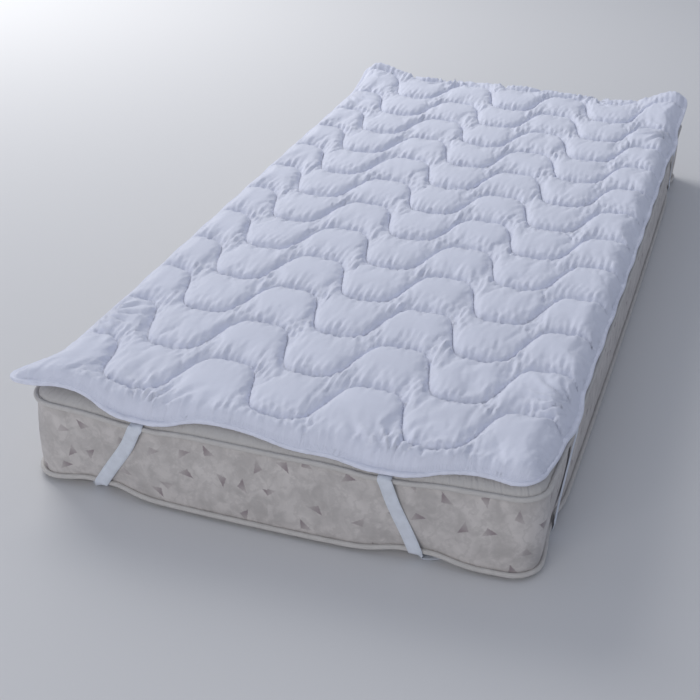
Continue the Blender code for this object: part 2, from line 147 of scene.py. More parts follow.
# How far each corner of the pad rises and spreads
CORNER_FIELDS = ("side", "end", "lift", "spread")
CORNERS = [
    dict(zip(CORNER_FIELDS, row))
    for row in (
        (-1, -1, 0.016, 0.056),
        (1, -1, 0.001, -0.010),
        (-1, 1, 0.040, 0.008),
        (1, 1, 0.062, 0.012),
    )
]
CORNER_REACH = 0.11

# Where the rim lies drawn back between two bands, how far back and how far it rises
TUCK_FIELDS = ("x", "y", "reach", "back", "lift")
TUCKS = [
    dict(zip(TUCK_FIELDS, row))
    for row in (
        (-0.365, -0.985, 0.075, 0.020, 0.006),
        (-0.090, -1.000, 0.085, 0.014, 0.003),
        (0.330, -0.990, 0.070, 0.010, 0.003),
        (0.000, 1.000, 0.130, 0.000, 0.008),
    )
]

# The camera: where it stands, its turns about Z, X and Y, and its focal length in pixels
CAMERA_PLACE = (0.6827, -2.7244, 1.3490)
CAMERA_TURNS = (0.3669, 1.0761, -0.0523)
FOCAL_PIXELS = 1342.2
PHOTO_PIXELS = 700
SENSOR = 36


class PadSizes(bpy.types.PropertyGroup):
    spare_width: FloatProperty(
        name="Spare width", description="How much wider the cover is cut than its quilting",
        default=0.085, min=0, max=0.2)
    spare_length: FloatProperty(
        name="Spare length", description="How much longer the cover is cut than its quilting",
        default=0.024, min=0, max=0.2)
    puff: FloatProperty(
        name="Puff", description="How hard the filling presses on the cover",
        default=3.1, min=0, max=20)
    grid_across: FloatProperty(
        name="Grid across", description="Between the cover's points across the pad",
        default=0.0036, min=0.002, max=0.03, unit="LENGTH")
    grid_along: FloatProperty(
        name="Grid along", description="Between the cover's points along the pad",
        default=0.0060, min=0.002, max=0.03, unit="LENGTH")
    crease_height: FloatProperty(
        name="Crease height", description="Height of the creases that fan out from the bands",
        default=0.0044, min=0, max=0.01, unit="LENGTH")
    gather_height: FloatProperty(
        name="Gather height", description="Height of the small gathers beside the quilting",
        default=0.0023, min=0, max=0.01, unit="LENGTH")
    binding_width: FloatProperty(
        name="Binding width", description="How far the binding's lips reach in from the rim",
        default=0.0115, min=0.004, max=0.03, unit="LENGTH")
    binding_thickness: FloatProperty(
        name="Binding thickness", description="Thickness of the binding's tape",
        default=0.0010, min=0.0003, max=0.003, unit="LENGTH")


class BandSizes(bpy.types.PropertyGroup):
    width: FloatProperty(
        name="Width", description="Width of an elastic band", default=0.024, min=0.01, max=0.05,
        unit="LENGTH")
    thickness: FloatProperty(
        name="Thickness", description="Thickness of an elastic band", default=0.0014,
        min=0.0005, max=0.004, unit="LENGTH")


class MattressSizes(bpy.types.PropertyGroup):
    piping_radius: FloatProperty(
        name="Piping radius", description="Radius of the cord in the mattress's seams",
        default=0.0045, min=0.002, max=0.008, unit="LENGTH")
    gather_depth: FloatProperty(
        name="Gather depth", description="Depth of the gathers beside the mattress's seams",
        default=0.0009, min=0, max=0.004, unit="LENGTH")
    stations: IntProperty(
        name="Points around", description="Number of points around the mattress's outline",
        default=1900, min=200, max=4000)


class Finishes(bpy.types.PropertyGroup):
    cover: FloatVectorProperty(
        name="Cover", description="Colour of the pad's cover", subtype="COLOR",
        default=(0.785, 0.81, 0.93), min=0, max=1)
    elastic: FloatVectorProperty(
        name="Elastic", description="Colour of the elastic bands", subtype="COLOR",
        default=(0.80, 0.845, 0.93), min=0, max=1)
    ticking: FloatVectorProperty(
        name="Ticking", description="Colour of the mattress's cloth", subtype="COLOR",
        default=(0.545, 0.515, 0.50), min=0, max=1)
    shard: FloatVectorProperty(
        name="Shards", description="Colour of the ticking's small triangles", subtype="COLOR",
        default=(0.27, 0.22, 0.235), min=0, max=1)
    piping: FloatVectorProperty(
        name="Piping", description="Colour of the mattress's piping", subtype="COLOR",
        default=(0.60, 0.58, 0.56), min=0, max=1)


# The shapes that the pieces share

def flat_run(x, y):
    """How far along a flat path each of its points lies."""
    return np.concatenate([[0], np.cumsum(np.hypot(np.diff(x), np.diff(y)))])


def path_run(points):
    """How far along a path each of its points lies, in any number of dimensions."""
    return np.concatenate([[0], np.cumsum(np.linalg.norm(np.diff(points, axis=0), axis=1))])


def smooth(share):
    """A smooth step: 0 below 0, 1 above 1, and 3t^2 - 2t^3 between."""
    t = np.clip(share, 0, 1)
    return t * t * (3 - 2 * t)


def ripple(along, wavelengths, phases):
    """An uneven wave from -1 to 1: the mean of sines with these wavelengths."""
    waves = [np.sin(2 * math.pi * along / w + p) for w, p in zip(wavelengths, phases)]
    return sum(waves) / len(waves)


def end_edge(x):
    return HALF_LENGTH - END_BOW * (x / HALF_WIDTH) ** 2


def side_edge(y):
    return HALF_WIDTH - SIDE_BOW * (y / HALF_LENGTH) ** 2


def bowed(x, y):
    """Bows the four sides outwards: each is moved in by a parabola of the other coordinate."""
    return (
        x * (1 - SIDE_BOW / HALF_WIDTH * (y / HALF_LENGTH) ** 2),
        y * (1 - END_BOW / HALF_LENGTH * (x / HALF_WIDTH) ** 2),
    )


def inside_edge(x, y):
    """How far plan points lie inside the mattress's outline: a rounded box's distance."""
    straight_x = x / (1 - SIDE_BOW / HALF_WIDTH * (y / HALF_LENGTH) ** 2)
    straight_y = y / (1 - END_BOW / HALF_LENGTH * (x / HALF_WIDTH) ** 2)
    across = np.abs(straight_x) - (HALF_WIDTH - CORNER_RADIUS)
    along = np.abs(straight_y) - (HALF_LENGTH - CORNER_RADIUS)
    outside = np.hypot(np.maximum(across, 0), np.maximum(along, 0))
    return CORNER_RADIUS - outside - np.minimum(np.maximum(across, along), 0)


def dome(depth):
    """The mattress top's height: a quarter ellipse from the seam to the flat middle."""
    share = np.clip(depth / DOME_RUN, 0, 1)
    return TOP_SEAM_Z + (TOP_Z - TOP_SEAM_Z) * np.sqrt(1 - (1 - share) ** 2)


def band_marks(end_field, side_field):
    """The plan points where the bands meet an edge, for the two fields that place them."""
    marks = []
    for band in BANDS:
        side, end = band["side"], band["end"]
        marks.append((side * band[end_field], end * end_edge(band[end_field])))
        marks.append((side * side_edge(band[side_field]), end * band[side_field]))
    return np.array(marks)


TOP_MARKS = band_marks("end_top_x", "side_top_y")
LOW_MARKS = band_marks("end_bottom_x", "side_bottom_y")


def pull_at(x, y, marks):
    """How strongly the bands pull: 1 across a band, and a bell curve beside it."""
    away = np.full(np.shape(x), np.inf)
    for mark in marks:
        away = np.minimum(away, np.hypot(x - mark[0], y - mark[1]))
    return np.exp(-((np.maximum(away - FLAT_PULL, 0) / PULL_REACH) ** 2))


def corner_share(x, y, corner):
    """How near points are to one corner of the pad: a bell curve, 1 at the corner."""
    away = np.hypot(x - corner["side"] * PAD_HALF_WIDTH, y - corner["end"] * PAD_HALF_LENGTH)
    return np.exp(-((away / CORNER_REACH) ** 2))


def tuck_share(x, y, tuck):
    """How near points are to where the rim lies drawn back: a bell curve, 1 at its middle."""
    away = np.hypot(x - tuck["x"], y - tuck["y"])
    return np.exp(-((away / tuck["reach"]) ** 2))


def pad_underside(x, y):
    """The pad's lower face: flat, drooping as a parabola at its rim and lifting at corners."""
    near_rim = 1 - np.clip(inside_edge(x, y) / PAD_DROOP_RUN, 0, 1)
    pull = pull_at(x, y, TOP_MARKS)
    height = TOP_Z + PAD_OFF_MATTRESS - (PAD_DROOP + TOP_PULL * pull) * near_rim**2
    height = height + OFF_THE_DOME * np.sin(math.pi * near_rim)
    for corner in CORNERS:
        height = height + corner["lift"] * corner_share(x, y, corner)
    for tuck in TUCKS:
        height = height + tuck["lift"] * tuck_share(x, y, tuck)
    return height


def lay_pad(x, y):
    """Where a point of the flat, square-cornered pad lies in plan.

    In each corner a square is mapped to a round one: (a, b) goes to (a sqrt(1 - b^2/2),
    b sqrt(1 - a^2/2)). The sides are then bowed, and near the rim the pad is drawn out at
    the bands, scalloped by its quilting, drawn back at its tucks and spread at its corners.
    """
    a = np.clip((np.abs(x) - (PAD_HALF_WIDTH - PAD_CORNER)) / PAD_CORNER, 0, 1)
    b = np.clip((np.abs(y) - (PAD_HALF_LENGTH - PAD_CORNER)) / PAD_CORNER, 0, 1)
    round_a, round_b = a * np.sqrt(1 - b * b / 2), b * np.sqrt(1 - a * a / 2)
    x = x + np.sign(x) * PAD_CORNER * (round_a - a)
    y = y + np.sign(y) * PAD_CORNER * (round_b - b)
    near_x = smooth(1 - (PAD_HALF_WIDTH - np.abs(x)) / RIM_REACH)
    near_y = smooth(1 - (PAD_HALF_LENGTH - np.abs(y)) / RIM_REACH)
    x, y = bowed(x, y)
    pull = pull_at(x, y, TOP_MARKS)
    reach = PULL_OUT * pull + SCALLOP * np.cos(2 * math.pi * (x + y) / COLUMN) * (1 - pull)
    for tuck in TUCKS:
        reach = reach - tuck["back"] * tuck_share(x, y, tuck) * (1 - pull)
    new_x, new_y = x + np.sign(x) * near_x * reach, y + np.sign(y) * near_y * reach
    for corner in CORNERS:
        share = corner_share(x, y, corner) * corner["spread"]
        new_x = new_x + share * corner["side"]
        new_y = new_y + 0.35 * share * corner["end"]
    return new_x, new_y


def wave(x):
    """A seam's shape: 1 over an arched column and 0 under a cupped one, a sine made squarer."""
    turn = np.sin(math.pi * (x - FIRST_COLUMN_X) / COLUMN)
    return 0.5 + 0.5 * np.tanh(WAVE_SQUARENESS * turn) / math.tanh(WAVE_SQUARENESS)


def turned(x, y):
    """Plan points in the quilting's own axes, which are turned a little on the pad."""
    return x - PATTERN_TURN * y, y + PATTERN_TURN * x


def neck_share(x, y):
    """How deep in a neck points lie, 0 to 1: where one seam's arch ends beside the next's cup."""
    turned_x, turned_y = turned(x, y)
    steep = 1 - (2 * wave(turned_x) - 1) ** 2
    return steep * np.sin(math.pi * (turned_y - FIRST_ROW_Y - WAVE_HEIGHT / 2) / ROW) ** 2


def nearest_seam(x, y):
    """The distance from flat points to the quilting, the seams' nearest points, run and count.

    Every seam is one wave moved by a row, so each is sampled finely, and the nearest sample
    of the nearest seam is kept. The count is of the seams that pass below each point.
    """
    turned_x, turned_y = turned(x, y)
    dense_x = np.linspace(-0.5, 0.5, 20000)
    dense_run = flat_run(dense_x, WAVE_HEIGHT * wave(dense_x))
    run = np.arange(0, dense_run[-1], 0.0004)
    wave_x = np.interp(run, dense_run, dense_x)
    wave_y = WAVE_HEIGHT * wave(wave_x)
    away = np.full(len(x), np.inf)
    below = np.zeros(len(x), dtype=int)
    found = np.zeros((len(x), 3))
    for number in range(SEAM_COUNT):
        row_y = FIRST_ROW_Y + number * ROW
        below += turned_y > row_y + WAVE_HEIGHT * wave(turned_x)
        near = np.flatnonzero((turned_y > row_y - 0.06) & (turned_y < row_y + WAVE_HEIGHT + 0.06))
        order = near[np.argsort(turned_x[near])]
        for block in np.array_split(order, max(1, len(order) // 400)):
            low, high = turned_x[block[0]] - 0.07, turned_x[block[-1]] + 0.07
            first, last = np.searchsorted(wave_x, (low, high))
            offset_x = turned_x[block, None] - wave_x[first:last]
            offset_y = turned_y[block, None] - (row_y + wave_y[first:last])
            squares = offset_x**2 + offset_y**2
            best = squares.argmin(axis=1)
            distance = np.sqrt(squares[np.arange(len(block)), best])
            closer = distance < away[block]
            kept, best = block[closer], best[closer] + first
            away[kept] = distance[closer]
            found[kept] = np.stack([wave_x[best], row_y + wave_y[best], run[best]], axis=1)
    foot_x = found[:, 0] + PATTERN_TURN * found[:, 1]
    foot_y = found[:, 1] - PATTERN_TURN * found[:, 0]
    return away, foot_x, foot_y, found[:, 2], below


def sewn_points(away, below):
    """Marks the grid points that lie nearest a seam: the nearer end of each edge it crosses."""
    marked = np.zeros(away.shape, dtype=bool)
    for a, b in (((slice(None), slice(None, -1)), (slice(None), slice(1, None))),
                 ((slice(None, -1), slice(None)), (slice(1, None), slice(None)))):
        crossed = below[a] != below[b]
        marked[a] |= crossed & (away[a] <= away[b])
        marked[b] |= crossed & (away[a] > away[b])
    return marked


def quilted_faces(marked):
    """The cover's faces: quads, cut along the diagonal wherever a seam runs along it."""
    rows, columns = marked.shape
    quads = grid_faces(rows, columns)
    a, b, c, d = (marked.ravel()[quads[:, k]] for k in range(4))
    rising, falling = a & c & ~b & ~d, b & d & ~a & ~c
    plain = quads[~(rising | falling)].tolist()
    cut = [quads[rising][:, (0, 1, 2)], quads[rising][:, (0, 2, 3)],
           quads[falling][:, (0, 1, 3)], quads[falling][:, (1, 2, 3)]]
    return [tuple(face) for face in plain] + [tuple(face) for part in cut for face in part.tolist()]


# Putting surfaces into meshes

def cell_corners(number):
    """The four corners of each cell of a grid of numbers."""
    corners = (number[:-1, :-1], number[:-1, 1:], number[1:, 1:], number[1:, :-1])
    return np.stack(corners, axis=-1).reshape(-1, 4)


def grid_faces(rows, columns, first=0, wrap_columns=False, wrap_rows=False):
    """Four-sided faces of a grid whose points are numbered row by row."""
    number = first + np.arange(rows * columns).reshape(rows, columns)
    return cell_corners(np.pad(number, ((0, wrap_rows), (0, wrap_columns)), mode="wrap"))


def make_mesh(name, points, faces, uv=None):
    """A mesh object of these points and faces, with an optional UV for each face corner."""
    mesh = bpy.data.meshes.new(name)
    mesh.from_pydata(points.tolist(), [], [list(face) for face in faces])
    if uv is not None:
        layer = mesh.uv_layers.new(name="cloth")
        layer.data.foreach_set("uv", np.asarray(uv, dtype=np.float32).ravel())
    mesh.shade_smooth()
    mesh.update()
    made = bpy.data.objects.new(name, mesh)
    bpy.context.scene.collection.objects.link(made)
    return made


def tube_uv(rows, columns, along, around):
    """UVs for a grid wrapped round in its columns: the wrap gets its own far edge."""
    u = np.concatenate([along, along[-1:] + along[1:2] - along[:1]])
    grid_u, grid_v = np.meshgrid(u, around)
    picked = grid_faces(rows, columns + 1).ravel()
    return np.stack([grid_u.ravel()[picked], grid_v.ravel()[picked]], axis=1)


def turned_over(faces, uv):
    """The same faces and their UVs with the corners in the opposite order."""
    return faces[:, ::-1], uv.reshape(-1, 4, 2)[:, ::-1].reshape(-1, 2)


def carried(path, facing, across, section):
    """A profile carried along a path: path + across * profile u + facing * profile v."""
    u, v = section[:, 0][:, None, None], section[:, 1][:, None, None]
    return path[None] + across[None] * u + facing[None] * v


def outline(half_width, half_length, radius, count):
    """Evenly spaced points of a rounded rectangle, anticlockwise from the foot end's middle."""
    turn = np.radians(np.linspace(-90, 0, 40))
    corner_x = half_width - radius + radius * np.cos(turn)
    corner_y = -(half_length - radius) + radius * np.sin(turn)
    x = np.concatenate([[0], corner_x, corner_x[::-1], -corner_x, -corner_x[::-1], [0]])
    y = np.concatenate([[0], corner_y, -corner_y[::-1], -corner_y, corner_y[::-1], [0]])
    y[[0, -1]] = -half_length
    run = flat_run(x, y)
    even = np.arange(count) / count * run[-1]
    return np.interp(even, run, x), np.interp(even, run, y), even


def outward(x, y):
    """The outward direction at each point of an anticlockwise loop."""
    along_x, along_y = np.roll(x, -1) - np.roll(x, 1), np.roll(y, -1) - np.roll(y, 1)
    length = np.hypot(along_x, along_y)
    return along_y / length, -along_x / length


def out_and_up(x, y):
    """The outward and the upward direction at each point of an anticlockwise loop, in 3-D."""
    out_x, out_y = outward(x, y)
    level, upright = np.zeros_like(x), np.ones_like(x)
    return np.column_stack([out_x, out_y, level]), np.column_stack([level, level, upright])


# Materials

class Nodes:
    """A material being wired: adds nodes and links them by name."""

    def __init__(self, name):
        self.material = bpy.data.materials.new(name)
        self.material.use_nodes = True
        self.tree = self.material.node_tree
        self.shader = self.tree.nodes["Principled BSDF"]

    def add(self, kind, inputs=(), **settings):
        node = self.tree.nodes.new("ShaderNode" + kind)
        for key, value in settings.items():
            setattr(node, key, value)
        for key, value in dict(inputs).items():
            self.plug(value, node.inputs[key])
        return node

    def plug(self, value, socket):
        if isinstance(value, bpy.types.NodeSocket):
            self.tree.links.new(value, socket)
        else:
            socket.default_value = value

    def uv(self, name):
        return self.add("UVMap", uv_map=name).outputs[0]

    def parts(self, vector):
        return self.add("SeparateXYZ", {0: vector}).outputs

    def math(self, operation, a, b=0.0):
        return self.add("Math", {0: a, 1: b}, operation=operation).outputs[0]

    def times(self, a, b):
        return self.math("MULTIPLY", a, b)

    def sine(self, value, pitch):
        return self.math("SINE", self.times(value, 2 * math.pi / pitch))

    def vector(self, operation, a, b, out=0):
        return self.add("VectorMath", {0: a, 1: b}, operation=operation).outputs[out]

    def ramp(self, value, low, high, to_low=0.0, to_high=1.0):
        inputs = {"Value": value, 1: low, 2: high, 3: to_low, 4: to_high}
        return self.add("MapRange", inputs, interpolation_type="SMOOTHSTEP").outputs[0]

    def noise(self, where, scale, detail=3.0, roughness=0.5):
        inputs = {"Vector": where, "Scale": scale, "Detail": detail, "Roughness": roughness}
        return self.add("TexNoise", inputs).outputs["Fac"]

    def mix(self, share, a, b):
        node = self.add("Mix", data_type="RGBA")
        self.plug(share, node.inputs["Factor"])
        self.plug(a, node.inputs["A"])
        self.plug(b, node.inputs["B"])
        return node.outputs["Result"]

    def bump(self, height, distance, strength=1.0, below=None):
        inputs = {"Height": height, "Distance": distance, "Strength": strength}
        if below is not None:
            inputs["Normal"] = below
        return self.add("Bump", inputs).outputs["Normal"]

    def scaled(self, where, factor):
        return self.vector("MULTIPLY", where, factor)

    def finish(self, tint, roughness, normal, sheen):
        """Plugs these into the shader and gives back the material."""
        sockets = {"Base Color": tint, "Roughness": roughness, "Normal": normal, "Sheen Weight": sheen}
        for name, value in sockets.items():
            self.plug(value, self.shader.inputs[name])
        return self.material


def colour(value, gain=1.0):
    return (*(min(1.0, channel * gain) for channel in value), 1.0)


def weave_height(nodes, where, pitch):
    """A plain weave's height: crossed sines of the threads at this pitch."""
    across, along, _ = nodes.parts(where)
    return nodes.times(nodes.sine(across, pitch), nodes.sine(along, pitch))


def cover_material(finishes):
    """Brushed white microfibre: a soft sheen, a fine weave, gathers and stitches at the seams, and
    painted shade along the seams.
    """
    nodes = Nodes("quilted_cover")
    where = nodes.uv("cloth")
    seam_run, seam_away, _ = nodes.parts(nodes.uv("seam"))
    neck = nodes.parts(nodes.uv("neck"))[0]
    near = nodes.ramp(seam_away, 0.0, 0.036, 1.0, 0.15)
    near = nodes.times(near, nodes.ramp(neck, 0.1, 0.8, 1.0, 2.2))
    gathers = nodes.noise(nodes.scaled(where, (1.0, 0.22, 1.0)), 95.0, 2.0, 0.45)
    on_seam = nodes.ramp(seam_away, 0.0006, 0.0016, 1.0, 0.0)
    stitches = nodes.times(nodes.ramp(nodes.sine(seam_run, 0.0032), -0.2, 0.3), on_seam)
    normal = nodes.bump(nodes.times(gathers, near), 0.0026, 0.9)
    normal = nodes.bump(stitches, 0.0005, 0.5, normal)
    normal = nodes.bump(nodes.noise(where, 900.0, 2.0), 0.00012, 0.5, normal)
    normal = nodes.bump(weave_height(nodes, where, 0.0009), 0.00006, 0.5, normal)
    patchy = nodes.noise(where, 9.0, 4.0, 0.6)
    tint = nodes.mix(
        nodes.ramp(patchy, 0.3, 0.7), colour(finishes.cover, 0.975), colour(finishes.cover, 1.02))
    # Painted shade: the cover's colour is darkened to 93% within 4 mm of a seam, standing in for the
    # shade in the seams' grooves
    tint = nodes.mix(nodes.ramp(seam_away, 0.0, 0.004, 0.2, 0.0), tint, colour(finishes.cover, 0.93))
    nodes.shader.inputs["Sheen Roughness"].default_value = 0.5
    nodes.shader.inputs["Specular IOR Level"].default_value = 0.25
    return nodes.finish(tint, nodes.ramp(patchy, 0.3, 0.7, 0.78, 0.86), normal, 0.25)


def tape_material(name, tint, ribs, rib_pitch, stitch_at=None):
    """A woven tape: ribs along it, fine threads across, and a row of stitches if it has one."""
    nodes = Nodes(name)
    where = nodes.uv("cloth")
    along, across, _ = nodes.parts(where)
    normal = nodes.bump(nodes.sine(across, rib_pitch), ribs, 0.7)
    normal = nodes.bump(nodes.sine(along, 0.0011), 0.0001, 0.6, normal)
    shade = nodes.noise(where, 60.0, 3.0)
    if stitch_at is not None:
        off = nodes.math("ABSOLUTE", nodes.math("SUBTRACT", across, stitch_at))
        groove = nodes.ramp(off, 0.0002, 0.0013, 0.0, 1.0)
        dash = nodes.ramp(nodes.sine(along, 0.0034), -0.3, 0.2)
        thread_up = nodes.times(dash, nodes.ramp(off, 0.0003, 0.0007, 0.7, 0.0))
        normal = nodes.bump(nodes.math("ADD", groove, thread_up), 0.0006, 0.8, normal)
    tone = nodes.mix(nodes.ramp(shade, 0.3, 0.7), colour(tint, 0.94), colour(tint, 1.03))
    return nodes.finish(tone, nodes.ramp(shade, 0.3, 0.7, 0.62, 0.74), normal, 0.12)


def ticking_shards(nodes, where):
    """How fully the ticking's small triangles cover a point.

    One lies in each Voronoi cell of the cloth's own UVs, turned by the cell's colour: a
    point is in it where three turned half-planes all hold. It fades to one side.
    """
    cells = nodes.add(
        "TexVoronoi", {"Vector": where, "Scale": 17.0, "Randomness": 0.8}, voronoi_dimensions="2D")
    offset = nodes.vector("SUBTRACT", where, cells.outputs["Position"])
    chance = nodes.add("SeparateColor", {0: cells.outputs["Color"]}).outputs
    local = nodes.add(
        "VectorRotate", {"Vector": offset, "Angle": nodes.times(chance[0], 2 * math.pi)},
        rotation_type="Z_AXIS").outputs[0]
    local = nodes.scaled(local, (0.72, 1.25, 1.0))
    sides = [
        nodes.vector("DOT_PRODUCT", local, (math.cos(a), math.sin(a), 0), out=1)
        for a in np.radians((90, 210, 330))
    ]
    reach = nodes.math("MAXIMUM", nodes.math("MAXIMUM", sides[0], sides[1]), sides[2])
    frayed = nodes.math("ADD", reach, nodes.times(nodes.noise(where, 300.0, 2.0), 0.003))
    fade = nodes.ramp(nodes.parts(local)[0], -0.008, 0.010, 1.0, 0.35)
    shard = nodes.times(nodes.ramp(frayed, 0.0062, 0.0082, 1.0, 0.0), fade)
    return nodes.times(shard, nodes.ramp(chance[1], 0.0, 0.5, 0.45, 0.9))


def ticking_material(finishes, border):
    """Mottled ticking: feathery strokes over a soft ground, with small scattered triangles.

    Above the top seam, where V passes the border, the cloth is plain and gathered.
    """
    nodes = Nodes("mattress_ticking")
    where = nodes.uv("cloth")
    plain = nodes.ramp(nodes.parts(where)[1], border - 0.0005, border + 0.0005)
    shard = nodes.times(ticking_shards(nodes, where), nodes.ramp(plain, 0.0, 1.0, 1.0, 0.0))
    feather = nodes.add("TexNoise", {
        "Vector": where, "Scale": 27.0, "Detail": 6.0, "Roughness": 0.62,
        "Distortion": 0.7}).outputs["Fac"]
    blotch = nodes.noise(where, 16.0, 4.0, 0.6)
    strokes = nodes.add("TexWave", {
        "Vector": where, "Scale": 9.0, "Distortion": 14.0, "Detail": 4.0, "Detail Scale": 2.2,
        "Detail Roughness": 0.65}).outputs["Fac"]
    cloth = finishes.ticking
    ground = nodes.mix(nodes.ramp(blotch, 0.3, 0.72), colour(cloth, 0.84), colour(cloth, 1.12))
    ground = nodes.mix(nodes.ramp(feather, 0.40, 0.66, 0.0, 0.7), ground, colour(cloth, 1.24))
    ground = nodes.mix(nodes.ramp(strokes, 0.55, 1.0, 0.0, 0.35), ground, colour(cloth, 0.82))
    ground = nodes.mix(plain, ground, colour(finishes.piping, 0.96))
    gathers = nodes.noise(nodes.scaled(where, (1.0, 0.14, 1.0)), 120.0, 1.0)
    normal = nodes.bump(nodes.noise(where, 26.0, 3.0), 0.002, 0.5)
    normal = nodes.bump(nodes.times(gathers, plain), 0.0040, 0.9, normal)
    normal = nodes.bump(feather, 0.0006, 0.5, normal)
    normal = nodes.bump(weave_height(nodes, where, 0.0012), 0.0001, 0.6, normal)
    tint = nodes.mix(shard, ground, colour(finishes.shard))
    return nodes.finish(tint, nodes.ramp(feather, 0.3, 0.7, 0.6, 0.8), normal, 0.15)


# The pad

def cover_grid(sizes):
    """The flat cover's points, row by row, with closer rows in the hem."""
    def spread(half, step):
        inner = half - 0.012
        even = np.linspace(-inner, inner, round(2 * inner / step) + 1)
        return np.concatenate([[-half, -half + 0.006], even, [half - 0.006, half]])

    across = spread(PAD_HALF_WIDTH, sizes.grid_across)
    along = spread(PAD_HALF_LENGTH, sizes.grid_along)
    x, y = np.meshgrid(across, along)
    return x, y


def hem_depth(x, y):
    """How far flat points lie inside the pad's rim: from its sides, from its ends and in all."""
    in_side, in_end = PAD_HALF_WIDTH - np.abs(x), PAD_HALF_LENGTH - np.abs(y)
    return in_side, in_end, np.minimum(in_side, in_end)


def settle_cover(sizes, x, y, height, held, faces):
    """Lets the cloth solver draw the wide cover in to its quilting and puff it up.

    The cover starts too wide and too long. Its seams and hem are pinned and carried in to
    their places, while pressure lifts it between them. Returns the settled points.
    """
    start = np.column_stack([x * (1 + sizes.spare_width), y * (1 + sizes.spare_length), height])
    cover = make_mesh("cover_being_settled", start, faces)
    pins = cover.vertex_groups.new(name="sewn")
    pins.add(np.flatnonzero(held).tolist(), 1.0, "REPLACE")
    cover.shape_key_add(name="wide")
    sewn = cover.shape_key_add(name="sewn_in")
    target = np.column_stack([x, y, height]).astype(np.float32)
    sewn.data.foreach_set("co", target.ravel())
    sewn.value = 0.0
    sewn.keyframe_insert("value", frame=1)
    sewn.value = 1.0
    sewn.keyframe_insert("value", frame=round(PINS_HOME * SETTLING_FRAMES))
    cloth = cover.modifiers.new("puff", "CLOTH")
    cloth.point_cache.frame_end = SETTLING_FRAMES
    cloth.collision_settings.use_collision = False
    settings = cloth.settings
    settings.quality = 5
    settings.mass = 0.3
    settings.tension_stiffness = settings.compression_stiffness = 30
    settings.shear_stiffness = 10
    settings.bending_stiffness = 0.2
    settings.tension_damping = settings.compression_damping = settings.shear_damping = 5
    settings.vertex_group_mass = "sewn"
    settings.use_pressure = True
    settings.uniform_pressure_force = sizes.puff
    settings.effector_weights.gravity = 0
    for step in range(1, SETTLING_FRAMES + 1):
        bpy.context.scene.frame_set(step)
    settled = cover.evaluated_get(bpy.context.evaluated_depsgraph_get())
    points = np.empty(len(x) * 3, dtype=np.float32)
    settled.data.vertices.foreach_get("co", points)
    cover_mesh = cover.data
    bpy.data.objects.remove(cover)
    bpy.data.meshes.remove(cover_mesh)
    bpy.context.scene.frame_set(1)
    return points.reshape(-1, 3).astype(float)


def uneven_ripples(along, across):
    """Ripples from -1.8 to 1.8 whose crests wander and swell: sines of two close wavelengths."""
    wander = 2.4 * np.sin(23 * across + 3.0) + 1.5 * np.sin(47 * across + 11 * along)
    fine = np.sin(2 * math.pi * along / 0.0128 + wander)
    broad = np.sin(2 * math.pi * along / 0.0183 - 1.6 * wander)
    swell = 0.6 + 0.4 * np.sin(61 * along + 37 * across) * np.sin(29 * along - 43 * across + 1.0)
    return (fine + 0.8 * broad) * swell


def seam_gathers(sizes, x, y, away, slope, above):
    """Small gathers beside the seams, running along the pad.

    They fade as the distance from the seam grows, sooner below a seam than above it, and
    where the seam itself runs along the pad. They are deepest in the necks between two seams.
    """
    fade = np.exp(-away / np.where(above, GATHERS_ABOVE, GATHERS_BELOW)) / (1 + 0.15 * slope**2)
    fade = (fade + NECK_GATHERS * neck_share(x, y)) * smooth(away / 0.004)
    return sizes.gather_height * uneven_ripples(x, y) * fade


def hem_gathers(sizes, x, y):
    """Gathers inside the hem, square to it: they fade towards the hem and the pad's middle."""
    in_side, in_end, depth = hem_depth(x, y)
    ripples = np.where(in_side < in_end, uneven_ripples(y, x), 0.5 * uneven_ripples(x, y))
    away = depth - 0.010
    return HEM_GATHERS * sizes.gather_height * ripples * np.exp(-away / 0.02) * smooth(away / 0.008)


def band_creases(sizes, x, y, marks):
    """Folds that fan out from the places where the bands pull: cosines of the angle there."""
    height = np.zeros_like(x)
    for number, mark in enumerate(marks):
        away = np.hypot(x - mark[0], y - mark[1])
        angle = np.arctan2(y - mark[1], x - mark[0]) + 0.12 * np.sin(40 * away + number)
        fold = np.cos(15 * angle + 1.7 * number) + 0.5 * np.cos(26 * angle + 0.9 * number)
        height += fold * np.exp(-((away / 0.085) ** 2)) * smooth((away - 0.004) / 0.020)
    return sizes.crease_height * height


def quilted_grid(sizes):
    """The flat cover with its seams drawn into its grid.

    Gives its shape, points, depths inside the rim, faces and held points, then each point's
    distance to the nearest seam, the seam's nearest point and how far along it that lies.
    """
    grid_x, grid_y = cover_grid(sizes)
    shape = grid_x.shape
    x, y = grid_x.ravel().copy(), grid_y.ravel().copy()
    away, foot_x, foot_y, run, below = nearest_seam(x, y)
    hem = hem_depth(x, y)[2]
    in_hem = hem < HEM_SEWN + 0.0003
    marked = sewn_points(away.reshape(shape), below.reshape(shape))
    on_seam = marked.ravel() & ~in_hem & (away < 2 * sizes.grid_along)
    faces = quilted_faces(on_seam.reshape(shape))
    x[on_seam], y[on_seam] = foot_x[on_seam], foot_y[on_seam]
    away[on_seam] = 0.0
    return shape, x, y, hem, faces, on_seam | in_hem, away, foot_x, foot_y, run


